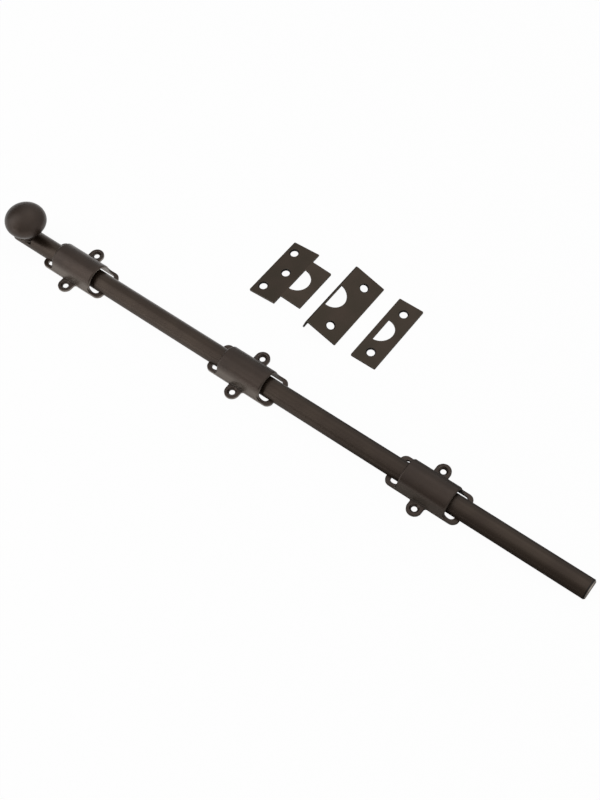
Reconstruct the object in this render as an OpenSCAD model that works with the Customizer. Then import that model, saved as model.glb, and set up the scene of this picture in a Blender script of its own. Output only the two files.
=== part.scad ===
// Surface bolt: a half-round rod with a round knob slides in three arched guides.
// Three loose strikes lie beside it: a universal, an angle and a mortise strike.
// +X runs along the rod to its tip, and z = 0 is the face that the guides are screwed to.
// The origin is midway between the two screw holes of the middle guide.

/* [Rod] */
// Length of the rod, from the end of its tang to its tip
rod_len = 609; // [580:1:760]
// Width of the rod across its flat back, which is twice its height
rod_w = 19; // [16:0.5:20]
// Bevel round the tip
tip_bevel = 1.2; // [0.4:0.2:2]
// Thickness of the flat tang that carries the knob
tang_t = 4; // [3:0.5:6]
// Distance from the middle guide to the tip of the rod
tip_reach = 335; // [300:1:400]

/* [Knob] */
// Diameter of the knob's head
knob_d = 38; // [30:1:45]
// Height of the head, from its underside to its crown
head_h = 27; // [20:1:32]
// Height of the head's widest line above the tang
knob_eq_h = 21; // [18:1:26]
// Diameter of the stem under the head
stem_d = 13; // [11:0.5:16]
// Distance from the knob's axis to the end of the tang
knob_inset = 18; // [14:1:24]
// Diameter of the screw that holds the knob
knob_screw_d = 4.8; // [4:0.2:5.6]

/* [Guides] */
// Distance from the middle guide to the guide near the knob
knob_guide_dist = 193.5; // [150:0.5:215]
// Distance from the middle guide to the guide near the tip
tip_guide_dist = 187; // [150:0.5:230]
// Length of the base ring
ring_len = 70; // [60:1:90]
// Thickness of the base ring and its ears
ring_t = 2.5; // [2.2:0.1:4]
// Outer corner radius of the base ring
ring_r = 6; // [4:0.5:9]
// Width of the bars that pass under the rod at the ring's ends
end_bar = 4.4; // [4:0.1:8]
// Length of the arch
arch_len = 45.5; // [36:0.5:50]
// Thickness of the arch
arch_t = 1.7; // [1.4:0.1:2.6]
// Side play between the rod and the arch
arch_play = 3.2; // [2.4:0.1:4]
// Height of the arch's centre line above the door's face
arch_rise = 3.8; // [2.8:0.1:6]
// How far each flank of the arch spreads beyond its half-round at the foot
foot_spread = 1.35; // [0.8:0.05:1.8]
// Rounding of the outer edge at the arch's ends
end_round = 1.5; // [0.4:0.1:1.8]
// Radius of the sweep from the arch's end down to the ring
end_sweep = 4.5; // [2:0.5:6]
// Distance between the two screw holes of a guide
ear_pitch = 42; // [40:0.5:56]
// Diameter of a rounded ear
ear_d = 13.6; // [12:0.2:16]
// Diameter of a guide's screw hole
guide_hole_d = 5; // [4:0.1:5.5]
// Diameter of the countersink at its mouth
guide_sink_d = 8.6; // [7:0.1:9]

/* [Friction springs] */
// Length of a bowed leaf spring
leaf_len = 36; // [28:1:40]
// Width of the leaf
leaf_w = 7; // [5:0.5:8]
// Thickness of the leaf
leaf_t = 0.8; // [0.5:0.1:1]
// Diameter of the peg under the roof that the leaf is staked on
peg_d = 3; // [2:0.2:3.6]

/* [Travel] */
// How far the rod is thrown from rest before its stop screw meets the ring
throw_out = 25; // [10:1:26]
// Diameter of the stop screw's head
stop_head_d = 5; // [4:0.2:7]
// Diameter of the stop screw's thread
stop_thread_d = 3; // [2.4:0.2:4]

/* [Strikes] */
// Length of the angle and mortise strikes
strike_len = 75; // [66:1:92]
// Thickness of the strikes' plate
strike_t = 1.6; // [1.2:0.1:2]
// Diameter of the half-round hole that takes the rod
catch_d = 25.3; // [23:0.1:27]
// Diameter of a strike's screw hole
strike_hole_d = 7.2; // [5:0.1:8]
// Diameter of the countersink at its mouth
strike_sink_d = 9.2; // [8:0.1:9.6]
// Corner radius of the strikes
strike_r = 1; // [0.4:0.2:2]
// Width of the mortise strike
mortise_w = 25.5; // [24:0.5:30]
// Screw-hole spacing of the mortise strike
mortise_pitch = 50; // [46:0.5:56]
// Distance from the mortise strike's edge to the flat of its rod hole
mortise_catch = 5.5; // [4:0.1:6]
// Width of the angle strike's plate
angle_w = 33; // [30:0.5:40]
// Depth of the angle strike's flange
angle_flange = 12.8; // [10:0.2:16]
// Outer radius of the angle strike's bend
bend_r = 2.1; // [1.9:0.1:4]
// Screw-hole spacing of the angle strike
angle_pitch = 50.5; // [46:0.5:56]
// Distance from the angle strike's bend to its screw holes
angle_hole_x = 18.7; // [17:0.1:22]
// Length of the wide part of the universal strike
wide_len = 67.5; // [62:0.5:84]
// Width of the wide part of the universal strike
wide_w = 28; // [26:0.5:34]
// Length of the universal strike's tongue
tongue_len = 47.5; // [36:0.5:57]
// Width of the universal strike's tongue
tongue_w = 21.5; // [18:0.5:28]
// Angle by which the tongue is bent down
tongue_bend = 9; // [2:0.5:14]
// Spacing of the outer pair of screw holes in the wide part
wide_pitch = 46; // [42:0.5:54]
// Distance from the bend to the outer pair of screw holes
pair_x = 20.4; // [18:0.1:22]
// Distance from the bend to the middle screw hole
single_x = 12.6; // [8:0.1:15]

/* [Layout of the loose strikes] */
// How far the strikes lie from the rod's centre line
strikes_y = 107; // [85:1:140]
// Place of the universal strike's bend along the rod
universal_x = -28; // [-60:1:-24]
// Place of the angle strike's bend along the rod
angle_x = 11; // [4:1:14]
// Place of the mortise strike's middle along the rod
mortise_x = 71.5; // [68:0.5:110]

/* [Hidden] */

// fits
slide_gap = 0.05;  // between the rod's flat back and the bars it slides on
thread_gap = 0.05; // round a thread in its hole
shank_gap = 0.25;  // round the knob's screw where it passes the tang
leaf_gap = 0.3;    // between a leaf's ends and the rod's crown
seat_gap = 0.08;   // between a leaf's middle and the roof, and round a screw's cone
peg_gap = 0.15;    // round the peg in the leaf's hole
stop_gap = 0.4;    // left between the stop screw and the ring at full throw
sink_gap = 0.1;    // how far a countersunk head lies below its surface
cut = 1;           // how far a cutting tool runs past what it cuts
edge_r = 0.6;      // rounding of cast edges
arc_steps = 12;    // steps in each computed arc
fine = 96;         // segments of the large curves

// rod
rod_r = rod_w / 2;
rod_z = ring_t + slide_gap;
rod_top = rod_z + rod_r;
rod_tail = tip_reach - rod_len;
step_gap = 1.5;
tang_len = knob_inset + stem_d / 2 + step_gap;
tang_r = 0.8 * rod_r;
tang_top = rod_z + tang_t;

// knob
knob_x = rod_tail + knob_inset;
knob_r = knob_d / 2;
neck_r = stem_d / 2 - 0.7;
foot_h = 1.6;
knob_bore_depth = 14;
knob_screw_len = tang_t + 10;
knob_screw_head_d = 2 * knob_screw_d;
drive_w = 1.1;
drive_depth = 1;

// guides
arch_ri = rod_r + arch_play;
arch_ro = arch_ri + arch_t;
ring_w = 2 * (arch_ro + foot_spread);
window_len = ring_len - 2 * end_bar;
window_r = 3.5;
ear_fillet = 2;
roof = arch_rise + arch_ri;
foot_y = ring_w / 2 - edge_r / 2;
foot_z = ring_t - edge_r / 4;
flank_a = acos(arch_ro / norm([foot_y, foot_z - arch_rise])) + atan2(foot_z - arch_rise, foot_y);
end_r = min(end_round, arch_t - 0.1);
sweep_z = ring_t + end_sweep;
sweep_y = sqrt(pow(arch_ro, 2) - pow(sweep_z - arch_rise, 2));

// leaf springs
leaf_top = arch_rise + sqrt(pow(arch_ri, 2) - pow(leaf_w / 2, 2)) - seat_gap;
leaf_drop = leaf_top - leaf_t - rod_top - leaf_gap;
leaf_bow_r = (pow(leaf_len / 2, 2) + pow(leaf_drop, 2)) / (2 * leaf_drop);
peg_head_d = 1.5 * peg_d;
peg_head_h = 0.6;

// stop screw, which travels inside the window of the middle guide's ring
stop_head_h = ring_t - 0.6;
stop_x = window_len / 2 - stop_head_d / 2 - stop_gap - throw_out;
stop_depth = 6;

// strikes
catch_gap = 0.3;
angle_lie = atan((angle_flange - strike_t) / (angle_w - strike_t));
wide_lie = atan(tongue_w * sin(tongue_bend) / (wide_w + tongue_w * cos(tongue_bend)));
tongue_lie = tongue_bend - wide_lie;
bronze = "#463c37";
spring_steel = "#5f6264";

// points on an arc of radius r about [x, y], from angle a0 to a1
function arc(x, y, r, a0, a1) =
    [for (i = [0 : arc_steps]) let (a = a0 + (a1 - a0) * i / arc_steps) [x + r * cos(a), y + r * sin(a)]];

// points on a quarter of an ellipse with half axes rx and ry about [0, y], from angle a0 to a1
function oval(y, rx, ry, a0, a1) =
    [for (i = [0 : 2 * arc_steps]) let (a = a0 + (a1 - a0) * i / (2 * arc_steps)) [rx * cos(a), y + ry * sin(a)]];

// flat outline of a rectangle with round corners, centred on the origin
module round_rect(len, wid, r) {
    square([len - 2 * r, wid], center = true);
    square([len, wid - 2 * r], center = true);
    for (x = [-1, 1], y = [-1, 1])
        translate([x * (len / 2 - r), y * (wid / 2 - r)]) circle(r, $fn = 48);
}

// countersunk screw hole down through a plate whose top is at z = 0
module sunk_hole(d, sink_d, plate_t) {
    sink_h = (sink_d - d) / 2;
    translate([0, 0, -plate_t - cut]) cylinder(d = d, h = plate_t + 2 * cut, $fn = 48);
    translate([0, 0, -sink_h]) cylinder(d1 = d, d2 = sink_d, h = sink_h, $fn = 48);
    translate([0, 0, -0.001]) cylinder(d = sink_d, h = cut, $fn = 48);
}

// straight slot for a screwdriver, sunk into a face at z = 0 that looks down
module drive_slot(d) {
    translate([0, 0, drive_depth / 2 - cut / 2])
        cube([d + 2 * cut, drive_w, drive_depth + cut], center = true);
}

// ---- rod ----

module half_round(len) {
    intersection() {
        rotate([0, 90, 0]) union() {
            cylinder(r = rod_r, h = len - tip_bevel, $fn = fine);
            translate([0, 0, len - tip_bevel])
                cylinder(r1 = rod_r, r2 = rod_r - tip_bevel, h = tip_bevel, $fn = fine);
        }
        translate([-cut, -rod_w, 0]) cube([len + 2 * cut, 2 * rod_w, rod_w]);
    }
}

// what is milled off above the tang, and the tang's rounded end corners
module tang_cut() {
    translate([-cut, -rod_w, tang_t]) cube([tang_len + cut, 2 * rod_w, rod_w]);
    for (side = [-1, 1]) translate([0, side * rod_r, 0]) mirror([0, side > 0 ? 1 : 0, 0])
        difference() {
            translate([-cut, -cut, -cut]) cube([tang_r + cut, tang_r + cut, rod_w]);
            translate([tang_r, tang_r, -2 * cut]) cylinder(r = tang_r, h = 2 * rod_w, $fn = 48);
        }
}

module bolt_rod() {
    color(bronze) difference() {
        translate([rod_tail, 0, rod_z]) difference() {
            half_round(rod_len);
            tang_cut();
        }
        translate([knob_x, 0, rod_z]) mirror([0, 0, 1])
            sunk_hole(knob_screw_d + 2 * shank_gap, knob_screw_head_d + 2 * (sink_gap + seat_gap), tang_t);
        translate([stop_x, 0, rod_z - cut])
            cylinder(d = stop_thread_d + 2 * thread_gap, h = stop_depth + cut, $fn = 48);
    }
}

// ---- knob ----

// half section of the knob from the tang up: foot, waist, underside of the head, crown
module knob_section() {
    low_h = head_h * 0.48;
    crown_h = head_h - low_h;
    neck_a = -acos(neck_r / knob_r);
    neck_h = knob_eq_h + low_h * sin(neck_a);
    polygon(concat(
        [[0, 0], [stem_d / 2, 0], [stem_d / 2, foot_h]],
        arc(neck_r + foot_h, foot_h + foot_h, foot_h, 225, 180),
        [[neck_r, neck_h]],
        oval(knob_eq_h, knob_r, low_h, neck_a, 0),
        oval(knob_eq_h, knob_r, crown_h, 0, 90)));
}

module knob() {
    color(bronze) translate([knob_x, 0, tang_top]) difference() {
        rotate_extrude($fn = fine) knob_section();
        translate([0, 0, -cut])
            cylinder(d = knob_screw_d + 2 * thread_gap, h = knob_bore_depth + cut, $fn = 48);
    }
}

module knob_screw() {
    head_cone = (knob_screw_head_d - knob_screw_d) / 2;
    color(bronze) translate([knob_x, 0, rod_z]) difference() {
        union() {
            cylinder(d = knob_screw_d, h = knob_screw_len, $fn = 48);
            translate([0, 0, sink_gap])
                cylinder(d1 = knob_screw_head_d, d2 = knob_screw_d, h = head_cone, $fn = 48);
        }
        translate([0, 0, sink_gap]) drive_slot(knob_screw_head_d);
        translate([0, 0, -cut]) cylinder(d = knob_screw_head_d, h = cut + sink_gap, $fn = 48);
    }
}

module stop_screw() {
    color(bronze) translate([stop_x, 0, rod_z - slide_gap]) difference() {
        union() {
            translate([0, 0, -stop_head_h]) cylinder(d = stop_head_d, h = stop_head_h, $fn = 48);
            cylinder(d = stop_thread_d, h = stop_depth - cut, $fn = 48);
        }
        translate([0, 0, -stop_head_h]) drive_slot(stop_head_d);
    }
}

// ---- guides ----

// half section of a plate of radius r whose top edge is rounded
module edge_section(r, t) {
    polygon(concat([[0, 0], [r, 0]], arc(r - edge_r, t - edge_r, edge_r, 0, 90), [[0, t]]));
}

// straight bar of length len along X with both top edges rounded
module edge_bar(len, wid, t) {
    rotate([90, 0, 90]) linear_extrude(len, center = true) {
        edge_section(wid / 2, t);
        mirror([1, 0]) edge_section(wid / 2, t);
    }
}

module edge_disc(r, t) {
    rotate_extrude($fn = fine) edge_section(r, t);
}

// base plate of the ring before its window is cut, with both ears
module ring_blank() {
    edge_bar(ring_len - 2 * ring_r, ring_w, ring_t);
    rotate([0, 0, 90]) edge_bar(ring_w - 2 * ring_r, ring_len, ring_t);
    for (x = [-1, 1], y = [-1, 1])
        translate([x * (ring_len / 2 - ring_r), y * (ring_w / 2 - ring_r), 0]) edge_disc(ring_r, ring_t);
    rotate([0, 0, 90]) edge_bar(ear_pitch, ear_d, ring_t);
    for (y = [-1, 1]) translate([0, y * ear_pitch / 2, 0]) edge_disc(ear_d / 2, ring_t);
    for (x = [-1, 1], y = [-1, 1]) translate([x * ear_d / 2, y * ring_w / 2, 0])
        mirror([x < 0 ? 1 : 0, 0, 0]) mirror([0, y < 0 ? 1 : 0, 0]) ear_web();
}

// fillet in the corner between an ear and the ring
module ear_web() {
    h = ring_t - edge_r;
    difference() {
        translate([-cut, -cut, 0]) cube([ear_fillet + cut, ear_fillet + cut, h]);
        translate([ear_fillet, ear_fillet, -cut]) cylinder(r = ear_fillet, h = h + 2 * cut, $fn = 48);
    }
}

// outside of the arch in cross-section, with flanks that run straight down to the ring's edge
module arch_outside() {
    flank_y = arch_ro * cos(flank_a);
    flank_z = arch_ro * sin(flank_a);
    translate([0, arch_rise]) intersection() {
        circle(arch_ro, $fn = fine);
        translate([-arch_ro, flank_z]) square([2 * arch_ro, arch_ro]);
    }
    polygon([[-foot_y, 0], [foot_y, 0], [foot_y, foot_z], [flank_y, arch_rise + flank_z],
        [-flank_y, arch_rise + flank_z], [-foot_y, foot_z]]);
}

module arch_inside() {
    translate([0, arch_rise]) circle(arch_ri, $fn = fine);
    translate([-arch_ri, -cut]) square([2 * arch_ri, arch_rise + cut]);
}

// half section, about the arch's axis, of what is cut away past the arch's end and round its outer edge
module end_section() {
    polygon(concat(
        [[0, ring_len], [0, 0]],
        arc(arch_ro - end_r, -end_r, end_r, 90, 0),
        [[arch_ro + cut, -end_r], [arch_ro + cut, ring_len]]));
}

// half section, about the axis of the sweep, of what is cut away above the sweep and round its outer edge
module sweep_section() {
    polygon(concat(
        [[0, 0], [end_sweep, 0]],
        arc(end_sweep + end_r, sweep_y - end_r, end_r, 180, 90),
        [[end_sweep + end_r, ring_w], [0, ring_w]]));
}

// what is cut away past one end of the arch, which leaves the sweep down to the ring
module arch_end_cut() {
    intersection() {
        translate([arch_len / 2, 0, arch_rise]) rotate([0, 90, 0]) rotate_extrude($fn = fine) end_section();
        translate([0, -ring_w, sweep_z]) cube([2 * ring_len, 2 * ring_w, 2 * arch_ro]);
    }
    for (side = [0, 1]) mirror([0, side, 0]) translate([arch_len / 2 + end_sweep, 0, sweep_z])
        rotate([-90, 0, 0]) rotate_extrude($fn = fine) sweep_section();
}

module arch() {
    difference() {
        rotate([90, 0, 90]) linear_extrude(arch_len + 2 * end_sweep, center = true) difference() {
            arch_outside();
            arch_inside();
        }
        arch_end_cut();
        mirror([1, 0, 0]) arch_end_cut();
    }
}

// peg under the roof, with the head that was staked over the leaf
module leaf_peg() {
    under = leaf_top - leaf_t - seat_gap;
    translate([0, 0, under]) cylinder(d = peg_d, h = roof + arch_t / 2 - under, $fn = 48);
    translate([0, 0, under - peg_head_h]) cylinder(d = peg_head_d, h = peg_head_h, $fn = 48);
}

module guide(x) {
    color(bronze) translate([x, 0, 0]) {
        difference() {
            ring_blank();
            translate([0, 0, -cut]) linear_extrude(ring_t + 2 * cut)
                round_rect(window_len, 2 * arch_ri, window_r);
            for (y = [-1, 1]) translate([0, y * ear_pitch / 2, ring_t])
                sunk_hole(guide_hole_d, guide_sink_d, ring_t);
        }
        arch();
        leaf_peg();
    }
}

module guide_knob_end() {
    guide(-knob_guide_dist);
}

module guide_middle() {
    guide(0);
}

module guide_tip_end() {
    guide(tip_guide_dist);
}

// bowed leaf, its middle under the roof and its ends on the rod's crown
module leaf_spring(x) {
    color(spring_steel) translate([x, 0, 0]) difference() {
        intersection() {
            translate([0, leaf_w / 2, leaf_top - leaf_bow_r]) rotate([90, 0, 0]) difference() {
                cylinder(r = leaf_bow_r, h = leaf_w, $fn = 180);
                translate([0, 0, -cut]) cylinder(r = leaf_bow_r - leaf_t, h = leaf_w + 2 * cut, $fn = 180);
            }
            translate([-leaf_len / 2, -leaf_w, rod_top]) cube([leaf_len, 2 * leaf_w, roof]);
        }
        translate([0, 0, rod_top]) cylinder(d = peg_d + 2 * peg_gap, h = roof, $fn = 48);
    }
}

module spring_knob_end() {
    leaf_spring(-knob_guide_dist);
}

module spring_middle() {
    leaf_spring(0);
}

module spring_tip_end() {
    leaf_spring(tip_guide_dist);
}

// ---- strikes: each is drawn with its top face at z = 0, then laid down ----

// half-round hole whose flat lies on x = 0
module catch_hole() {
    translate([0, 0, -strike_t - cut]) linear_extrude(strike_t + 2 * cut) intersection() {
        circle(d = catch_d, $fn = fine);
        translate([0, -catch_d]) square([catch_d, 2 * catch_d]);
    }
}

module strike_hole(x, y) {
    translate([x, y, 0]) sunk_hole(strike_hole_d, strike_sink_d, strike_t);
}

module strike_mortise() {
    color(bronze) translate([mortise_x, strikes_y, strike_t]) difference() {
        translate([0, 0, -strike_t]) linear_extrude(strike_t)
            round_rect(mortise_w, strike_len, strike_r);
        translate([mortise_catch - mortise_w / 2, 0, 0]) catch_hole();
        for (side = [-1, 1]) strike_hole(0, side * mortise_pitch / 2);
    }
}

// plate that runs from x = 0 to x = wid, round at its far corners only
module plate_half(len, wid) {
    translate([0, 0, -strike_t]) linear_extrude(strike_t) intersection() {
        round_rect(2 * wid, len, strike_r);
        translate([0, -len]) square([wid, 2 * len]);
    }
}

// quarter bend and down-turned flange of the angle strike, below the plate's near edge
module angle_bend() {
    rotate([90, 0, 0]) linear_extrude(strike_len, center = true) {
        translate([bend_r, -bend_r]) difference() {
            intersection() {
                circle(bend_r, $fn = 64);
                translate([-bend_r, 0]) square(bend_r);
            }
            circle(bend_r - strike_t, $fn = 64);
        }
        translate([0, -angle_flange]) square([strike_t, angle_flange - bend_r]);
    }
}

module strike_angle() {
    rest_h = angle_w * sin(angle_lie) + strike_t * cos(angle_lie);
    color(bronze) translate([angle_x, strikes_y, rest_h]) rotate([0, angle_lie, 0]) difference() {
        union() {
            angle_bend();
            intersection() {
                plate_half(strike_len, angle_w);
                translate([bend_r, -strike_len, -2 * strike_t]) cube([angle_w, 2 * strike_len, 3 * strike_t]);
            }
        }
        translate([bend_r, 0, 0]) catch_hole();
        for (side = [-1, 1]) strike_hole(angle_hole_x, side * angle_pitch / 2);
    }
}

module strike_universal() {
    crest = wide_w * sin(wide_lie) + strike_t * cos(wide_lie);
    color(bronze) translate([universal_x, strikes_y, crest]) difference() {
        union() {
            rotate([0, -wide_lie, 0]) mirror([1, 0, 0]) plate_half(wide_len, wide_w);
            rotate([0, tongue_lie, 0]) plate_half(tongue_len, tongue_w);
        }
        rotate([0, tongue_lie, 0]) translate([catch_gap, 0, 0]) catch_hole();
        rotate([0, -wide_lie, 0]) {
            strike_hole(-single_x, 0);
            for (side = [-1, 1]) strike_hole(-pair_x, side * wide_pitch / 2);
        }
    }
}

bolt_rod();
knob();
knob_screw();
stop_screw();
guide_knob_end();
guide_middle();
guide_tip_end();
spring_knob_end();
spring_middle();
spring_tip_end();
strike_universal();
strike_angle();
strike_mortise();
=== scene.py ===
"""Looks of the surface bolt: oil-rubbed bronze finishes, a white floor, soft lamps and the camera.

The CAD nodes keep their shapes. Each gets a finish that follows how its piece was made: the rod was drawn,
the knob and the screws turned, the guides cast, the strikes stamped from sheet, and all were darkened and
rubbed back. The springs are blued steel."""
import math

import bpy
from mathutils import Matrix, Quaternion, Vector


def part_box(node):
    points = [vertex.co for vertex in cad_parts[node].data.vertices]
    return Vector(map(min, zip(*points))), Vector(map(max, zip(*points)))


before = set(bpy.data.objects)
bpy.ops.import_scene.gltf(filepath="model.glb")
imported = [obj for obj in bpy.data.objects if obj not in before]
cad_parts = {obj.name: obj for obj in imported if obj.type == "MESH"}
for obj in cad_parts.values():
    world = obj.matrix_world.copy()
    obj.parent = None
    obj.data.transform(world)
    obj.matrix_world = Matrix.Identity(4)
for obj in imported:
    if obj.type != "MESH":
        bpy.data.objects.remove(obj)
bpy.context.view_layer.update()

MM = 0.001

# ---------------------------------------------------------------- values of the finishes

METALLIC = 0.7            # the patina is only partly metal, so that its shaded sides stay brown, not black
NOISE_RANGE = (0.3, 0.7)  # the noise seldom goes past these
BLOTCH = 22               # mm, patches where the patina was rubbed more or less
SPECKLE = 1.1             # mm, breaks up the pale edges, rubbed and painted highlight both
CORNER_SHADE_REACH = 4           # mm, how far the painted shade reaches out of a corner
WAX_ROUGHNESS = 0.3
SHEEN_SPREAD = 0.02       # roughness gained or lost from one blotch to the next
MARKS_SPREAD = 0.015      # and between the marks that the making left

PAINTED_SHADE = "#15110f"           # nearly black: painted shade in the countersinks and on a ring where the rod's bevel starts
# painted shade in corners, where faces of the same piece close a point in
PAINTED_CORNER_SHADE = "#231e1a"
PAINTED_HIGHLIGHT = "#b3a99e"   # pale: painted highlight round the knob's foot and on the rod's bevel
# pale: painted light on the upright flanks of the guides
PAINTED_FLANK_LIGHT = "#8f857b"

FOOT_RING = (7.5 * MM, 9.5 * MM)       # from the knob's axis, over which the painted highlight round its foot ends
BEVEL_HIGHLIGHT = (0.7 * MM, 1.1 * MM)      # back from the tip, over which the painted highlight on the bevel ends
SHADE_RING_STARTS = (0.8 * MM, 1.2 * MM)      # back from the tip, over which the ring of painted shade starts
SHADE_RING_ENDS = (2.0 * MM, 2.5 * MM)        # and over which it ends


# ---------------------------------------------------------------- colours and nodes

def linear(hex_colour):
    """sRGB hex value to a linear RGBA colour."""
    parts = [int(hex_colour[i:i + 2], 16) / 255 for i in (1, 3, 5)]
    return [c / 12.92 if c <= 0.04045 else ((c + 0.055) / 1.055) ** 2.4 for c in parts] + [1.0]


def add_node(tree, kind, settings=None, **inputs):
    """Adds one node. Settings are its properties. An input is named by its label with underscores, or by
    its number after an underscore, and takes a value or the output socket to link from."""
    node = tree.nodes.new(kind)
    for name, value in (settings or {}).items():
        setattr(node, name, value)
    for name, value in inputs.items():
        socket = node.inputs[int(name[1:])] if name[0] == "_" else node.inputs[name.replace("_", " ")]
        if isinstance(value, bpy.types.NodeSocket):
            tree.links.new(value, socket)
        else:
            socket.default_value = value
    return node


def new_material(name):
    """Material with an empty node tree, and that tree."""
    material = bpy.data.materials.new(name)
    material.use_nodes = True
    material.node_tree.nodes.clear()
    return material, material.node_tree


def math_node(tree, operation, a, b):
    """Sum, product and so on of two values, each a number or a socket."""
    return add_node(tree, "ShaderNodeMath", {"operation": operation}, _0=a, _1=b).outputs["Value"]


def coordinate(tree, kind, axis):
    """X, Y or Z of a point's place in metres (kind Object) or of its face's direction (kind Normal)."""
    place = add_node(tree, "ShaderNodeTexCoord").outputs[kind]
    return add_node(tree, "ShaderNodeSeparateXYZ", _0=place).outputs[axis]


def remap(tree, value, low, high, to_low, to_high):
    """Carries a value from low..high to to_low..to_high, smoothly and held at both ends."""
    return add_node(tree, "ShaderNodeMapRange", {"interpolation_type": "SMOOTHSTEP"}, Value=value, _1=low,
                    _2=high, _3=to_low, _4=to_high).outputs["Result"]


def band(tree, value, rise, fall, weight):
    """Mask of that weight over a band of values. It comes in over rise and goes out over fall."""
    return math_node(tree, "MULTIPLY", remap(tree, value, *rise, 0.0, 1.0),
                     remap(tree, value, *fall, weight, 0.0))


def blend_colours(tree, factor, a, b):
    """Mix of two colours, each a hex value or a socket."""
    mix = add_node(tree, "ShaderNodeMix", {"data_type": "RGBA"}, _0=factor)
    for number, colour in ((6, a), (7, b)):
        if isinstance(colour, str):
            mix.inputs[number].default_value = linear(colour)
        else:
            tree.links.new(colour, mix.inputs[number])
    return mix.outputs[2]


def grain(tree, centre, spacing, detail=3):
    """Noise from 0 to 1 in object space, about centre in metres. Spacing is how coarse it is, in mm, along
    X, Y and Z."""
    place = add_node(tree, "ShaderNodeTexCoord").outputs["Object"]
    scale = [1 / (step * MM) for step in spacing]
    shift = [-c * s for c, s in zip(centre, scale)]
    mapped = add_node(tree, "ShaderNodeMapping", Vector=place, Location=shift, Scale=scale)
    return add_node(tree, "ShaderNodeTexNoise", Vector=mapped.outputs["Vector"], Scale=1.0, Detail=detail,
                    Roughness=0.55).outputs["Fac"]


def rounded_edges(tree, radius):
    """The surface's direction as if its sharp edges were rubbed round to a radius in mm, and a mask that is
    1 at those edges."""
    soft = add_node(tree, "ShaderNodeBevel", {"samples": 6}, Radius=radius * MM).outputs["Normal"]
    true = add_node(tree, "ShaderNodeNewGeometry").outputs["Normal"]
    alike = add_node(tree, "ShaderNodeVectorMath", {"operation": "DOT_PRODUCT"}, _0=soft, _1=true)
    at_edge, off_edge = 0.80, 0.995    # cosine of the angle between the two directions
    return soft, remap(tree, alike.outputs["Value"], at_edge, off_edge, 1.0, 0.0)


def levelness(tree):
    """How level a face lies: 1 on flat tops, 0 on upright sides."""
    return math_node(tree, "ABSOLUTE", coordinate(tree, "Normal", "Z"), 0.0)


# ---------------------------------------------------------------- finishes

def bronze(name, centre, tones, roughness, relief, edge=0.35, wax=0.3, places=()):
    """Oil-rubbed bronze: a dark brown patina with soft blotches, paler at the edges, partly rubbed through
    and partly a painted highlight, with painted shade in corners, under a thin wax.

    Tones are the patina, the tone it is rubbed back to and the pale edge, rubbed metal and painted
    highlight both. Relief is (spacing in mm along X, Y and Z, depth in mm) of the marks that the making
    left. Edge is the radius in mm that the edges are rubbed to, and wax how much of a clear gloss lies over
    it all. Places are (mask, tone) pairs where light or shade is painted on, each mask a function of the
    tree."""
    material, tree = new_material(name)
    patina, rubbed, worn_and_highlit_edge = tones
    mark_spacing, mark_depth = relief
    blotches = remap(tree, grain(tree, centre, (BLOTCH, BLOTCH, BLOTCH)), *NOISE_RANGE, 0.0, 1.0)
    speckle = grain(tree, centre, (SPECKLE, SPECKLE, SPECKLE), 2)
    marks = grain(tree, centre, mark_spacing, 2)

    colour = blend_colours(tree, blotches, patina, rubbed)
    soft, near_edge = rounded_edges(tree, edge)
    # Pale edges: partly rubbed metal, partly a painted highlight.
    edge_wear_and_highlight = math_node(tree, "MULTIPLY", near_edge, remap(tree, speckle, 0.2, 0.7, 0.45, 1.0))
    colour = blend_colours(tree, edge_wear_and_highlight, colour, worn_and_highlit_edge)
    # Painted light and shade at the places given.
    for mask, tone in places:
        colour = blend_colours(tree, mask(tree), colour, tone)
    # Painted shade: darker where the piece's own faces close a point in.
    openness = add_node(tree, "ShaderNodeAmbientOcclusion", {"samples": 8, "only_local": True},
                        Distance=CORNER_SHADE_REACH * MM).outputs["AO"]
    colour = blend_colours(tree, remap(tree, openness, 0.6, 0.92, 0.7, 0.0), colour, PAINTED_CORNER_SHADE)

    sheen = math_node(
        tree, "ADD", remap(tree, blotches, 0.0, 1.0, roughness + SHEEN_SPREAD, roughness - SHEEN_SPREAD),
        remap(tree, marks, *NOISE_RANGE, -MARKS_SPREAD, MARKS_SPREAD))
    bump = add_node(tree, "ShaderNodeBump", Height=marks, Distance=mark_depth * MM, Strength=1.0,
                    Normal=soft)
    shader = add_node(tree, "ShaderNodeBsdfPrincipled", Base_Color=colour, Metallic=METALLIC,
                      Roughness=sheen, Normal=bump.outputs["Normal"])
    if wax:
        shader.inputs["Coat Weight"].default_value = wax
        shader.inputs["Coat Roughness"].default_value = WAX_ROUGHNESS
        tree.links.new(bump.outputs["Normal"], shader.inputs["Coat Normal"])
    add_node(tree, "ShaderNodeOutputMaterial", Surface=shader.outputs["BSDF"])
    return material


def middle(node):
    """Centre of a CAD node's box."""
    low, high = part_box(node)
    return (low + high) / 2


def short_of_tip(tree):
    """Distance back from the rod's tip, in metres."""
    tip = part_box("bolt_rod")[1][0]
    return math_node(tree, "SUBTRACT", tip, coordinate(tree, "Object", "X"))


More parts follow.
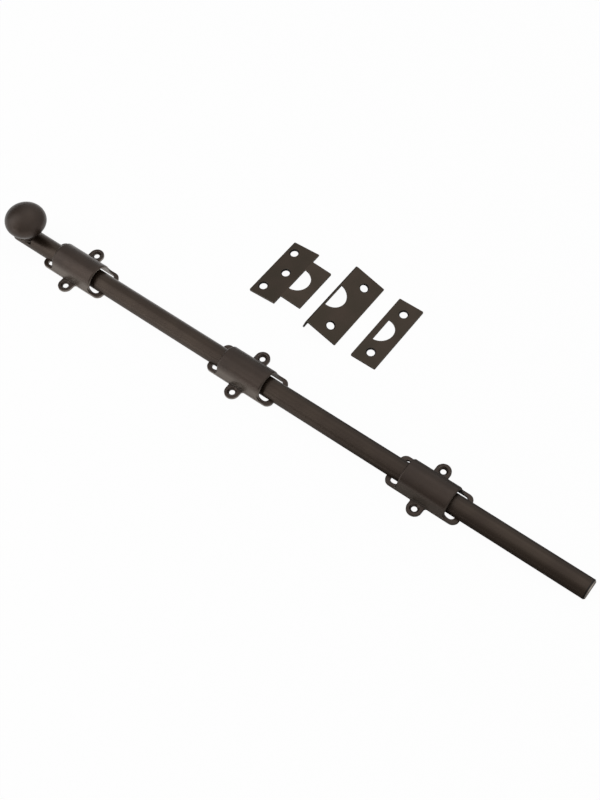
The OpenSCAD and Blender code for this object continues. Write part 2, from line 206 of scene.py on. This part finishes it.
def painted_highlights_on_rod(tree):
    """Where a highlight is painted on the rod: on its flat top round the knob's foot, and on the bevel that
    meets the strike."""
    x, y = middle("knob")[:2]
    place = add_node(tree, "ShaderNodeTexCoord").outputs["Object"]
    from_axis = add_node(tree, "ShaderNodeVectorMath", {"operation": "MULTIPLY_ADD"}, _0=place,
                         _1=(1, 1, 0), _2=(-x, -y, 0)).outputs["Vector"]
    reach = add_node(tree, "ShaderNodeVectorMath", {"operation": "LENGTH"}, _0=from_axis).outputs["Value"]
    foot = math_node(tree, "MULTIPLY", remap(tree, reach, *FOOT_RING, 0.8, 0.0),
                     remap(tree, levelness(tree), 0.9, 0.98, 0.0, 1.0))
    bevel = remap(tree, short_of_tip(tree), *BEVEL_HIGHLIGHT, 0.9, 0.0)
    return math_node(tree, "MAXIMUM", foot, bevel)


def painted_shade_ring_on_rod(tree):
    """Ring of painted shade a little back from the tip, where the bevel starts."""
    return band(tree, short_of_tip(tree), SHADE_RING_STARTS, SHADE_RING_ENDS, 0.9)


def finish_rod():
    """Drawn bar: faint lines run along it, left by the die, and stretch the light lengthwise."""
    return bronze("drawn oil-rubbed bronze", (0, 0, 0), ("#372b22", "#3d3127", "#7d736a"), 0.36,
                  ((60, 0.8, 0.8), 0.001), wax=0.2,
                  # painted highlights round the knob's foot and on the bevel, and a ring of painted shade
                  # where the bevel starts
                  places=((painted_highlights_on_rod, PAINTED_HIGHLIGHT), (painted_shade_ring_on_rod, PAINTED_SHADE)))


def finish_knob():
    """Turned and waxed: the most even piece, with a broad soft highlight and the faintest rings of the
    tool."""
    return bronze("turned oil-rubbed bronze", middle("knob"), ("#362a22", "#3c2f26", "#7d736a"), 0.46,
                  ((2.5, 2.5, 0.5), 0.001))


def painted_light_on_flanks(tree):
    """The upright flanks of a guide, which get painted light, paler than the top."""
    return remap(tree, levelness(tree), 0.1, 0.65, 0.5, 0.0)


def finish_guide(node):
    """Cast in sand, then tumbled: a soft grain and a satin gloss."""
    return bronze("cast oil-rubbed bronze, " + node, middle(node), ("#352921", "#3c2f26", "#a59b90"), 0.38,
                  # painted light on the upright flanks
                  ((0.9, 0.9, 0.9), 0.004), edge=0.45, places=((painted_light_on_flanks, PAINTED_FLANK_LIGHT),))


def countersinks(tree):
    """The sloped walls of the screw holes, which get painted shade. Nothing else on a strike slopes so."""
    return band(tree, levelness(tree), (0.4, 0.6), (0.8, 0.95), 0.95)


def finish_strike(node):
    """Stamped from sheet: flat and even, unwaxed, with pale edges, partly rubbed and partly a painted
    highlight.
    """
    return bronze("stamped oil-rubbed bronze, " + node, middle(node), ("#3e362c", "#443930", "#958b80"),
                  # painted shade in the countersinks
                  0.40, ((0.9, 0.9, 0.9), 0.003), edge=0.5, wax=0.0, places=((countersinks, PAINTED_SHADE),))


def finish_screw(node):
    """Machined and darkened: the fine grain of the cutter, greyer than the castings."""
    return bronze("machined dark bronze, " + node, middle(node), ("#3d3631", "#48403a", "#74695e"), 0.36,
                  ((0.5, 0.5, 0.5), 0.003), edge=0.15, wax=0.0)


def finish_spring(node):
    """Rolled spring steel, blued in the fire: cold grey, glossy, with faint lines along the strip."""
    return bronze("blued spring steel, " + node, middle(node), ("#3f4348", "#50555a", "#8b8f92"), 0.30,
                  ((8, 0.5, 8), 0.003), edge=0.15, wax=0.0)


def dress(node, material):
    """Gives a CAD node its one material."""
    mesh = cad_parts[node].data
    mesh.materials.clear()
    mesh.materials.append(material)


dress("bolt_rod", finish_rod())
dress("knob", finish_knob())
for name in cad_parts:
    if name.startswith("guide"):
        dress(name, finish_guide(name))
    elif name.startswith("strike"):
        dress(name, finish_strike(name))
    elif name.endswith("screw"):
        dress(name, finish_screw(name))
    elif name.startswith("spring"):
        dress(name, finish_spring(name))


# ---------------------------------------------------------------- floor, lamps and camera

def floor(half, own_white):
    """White square floor, half its side in metres. Own_white is the share of its white that is its own as
    the camera sees it, so that it stays even, and the rest takes the shadow.

    In the metal it is wholly its own white on the near side of the knob's end, where the lamps are. From
    there to the far side of the tip that fades, and the lit floor that is left turns dark, so that the
    rod's lower edges are pale at the knob and dark at the tip."""
    mesh = bpy.data.meshes.new("floor")
    corners = [(-half, -half, 0), (half, -half, 0), (half, half, 0), (-half, half, 0)]
    mesh.from_pydata(corners, [], [(0, 1, 2, 3)])
    plane = bpy.data.objects.new("floor", mesh)
    bpy.context.scene.collection.objects.link(plane)

    material, tree = new_material("white floor")
    along, across = 5.0, 8.0    # change per metre towards the tip, and towards the strikes
    away = math_node(tree, "ADD", math_node(tree, "MULTIPLY", coordinate(tree, "Object", "X"), along),
                     math_node(tree, "MULTIPLY", coordinate(tree, "Object", "Y"), across))
    rays = add_node(tree, "ShaderNodeLightPath").outputs
    mirrored = math_node(tree, "MAXIMUM", rays["Is Glossy Ray"], rays["Is Transmission Ray"])
    share = math_node(
        tree, "MAXIMUM", math_node(tree, "MULTIPLY", rays["Is Camera Ray"], own_white),
        math_node(tree, "MULTIPLY", mirrored, remap(tree, away, -0.6, 0.6, 1.0, 0.0)))
    dim = math_node(tree, "MULTIPLY", mirrored, remap(tree, away, 0.0, 0.7, 0.0, 0.8))
    lit_colour = blend_colours(tree, dim, "#f2f2f2", "#2e2c2a")
    lit = add_node(tree, "ShaderNodeBsdfDiffuse", Color=lit_colour).outputs["BSDF"]
    own = add_node(tree, "ShaderNodeEmission", Color=(1, 1, 1, 1), Strength=1.0).outputs["Emission"]
    both = add_node(tree, "ShaderNodeMixShader", _0=share, _1=lit, _2=own)
    add_node(tree, "ShaderNodeOutputMaterial", Surface=both.outputs["Shader"])
    mesh.materials.append(material)


def lamp(name, location, size, power):
    """Round soft lamp that faces the origin, its size in metres and its power in watts."""
    light = bpy.data.lights.new(name, "AREA")
    light.shape = "DISK"
    light.size = size
    light.energy = power
    lamp_object = bpy.data.objects.new(name, light)
    bpy.context.scene.collection.objects.link(lamp_object)
    lamp_object.location = location
    lamp_object.rotation_mode = "QUATERNION"
    lamp_object.rotation_quaternion = (-Vector(location)).to_track_quat("-Z", "Y")


def camera(eye, aim, roll, lens):
    """Camera at eye that looks at aim, both in metres, turned by roll in degrees. Lens is its focal length
    in mm, before a frame 36 mm wide."""
    data = bpy.data.cameras.new("camera")
    data.lens = lens
    data.sensor_width = 36
    data.clip_start = 0.01
    data.clip_end = 50
    camera_object = bpy.data.objects.new("camera", data)
    bpy.context.scene.collection.objects.link(camera_object)
    camera_object.location = eye
    camera_object.rotation_mode = "QUATERNION"
    level = (Vector(aim) - Vector(eye)).to_track_quat("-Z", "Y")
    camera_object.rotation_quaternion = level @ Quaternion((0, 0, 1), math.radians(roll))
    bpy.context.scene.camera = camera_object


def studio(ambient, panels):
    """Grey room with large soft panels. A panel is (axis towards it, angle of its even middle, angle at
    which it has faded out, brightness). The camera sees the room white."""
    world = bpy.data.worlds.new("studio")
    bpy.context.scene.world = world
    world.use_nodes = True
    tree = world.node_tree
    tree.nodes.clear()
    towards = add_node(tree, "ShaderNodeTexCoord").outputs["Generated"]
    light = ambient
    for axis, even, faded, brightness in panels:
        facing = add_node(tree, "ShaderNodeVectorMath", {"operation": "DOT_PRODUCT"}, _0=towards,
                          _1=Vector(axis).normalized()).outputs["Value"]
        glow = remap(tree, facing, math.cos(math.radians(faded)), math.cos(math.radians(even)), 0.0,
                     brightness)
        light = math_node(tree, "ADD", light, glow)
    seen = add_node(tree, "ShaderNodeLightPath").outputs["Is Camera Ray"]
    room = add_node(tree, "ShaderNodeBackground", Color=(1, 1, 1, 1), Strength=light)
    white = add_node(tree, "ShaderNodeBackground", Color=(1, 1, 1, 1), Strength=1.0)
    both = add_node(tree, "ShaderNodeMixShader", _0=seen, _1=room.outputs["Background"],
                    _2=white.outputs["Background"])
    add_node(tree, "ShaderNodeOutputWorld", Surface=both.outputs["Shader"])


floor(half=6.0, own_white=0.96)
lamp("low soft box at the knob's end", (-1.1, -0.8, 0.5), size=1.0, power=2.4)
lamp("high soft box at the knob's end", (-0.85, -0.35, 0.9), size=0.8, power=1.0)
lamp("low lamp before the bolt", (-0.50, -0.90, 0.04), size=0.5, power=1.2)
lamp("fill before the middle guide", (-0.35, -0.75, 0.57), size=0.4, power=0.3)
studio(ambient=0.15, panels=[
    ((0, 0.1, 1), 15, 50, 0.78),             # overhead
    ((-0.2, 0.85, 0.5), 15, 50, 0.50),       # behind the strikes
    ((-0.6, -0.5, 0.6), 12, 35, 0.64),       # above the low soft box
    ((0.75, -0.55, 0.35), 20, 55, 0.45),     # on the near side of the tip
    ((0.82, 0.48, 0.25), 18, 48, 0.6),       # on the far side of the tip
])
camera(eye=(0.39778, -0.41816, 0.86847), aim=(0.05107, 0.00729, 0), roll=-2.419, lens=54.59)
bpy.context.scene.view_settings.view_transform = "Standard"
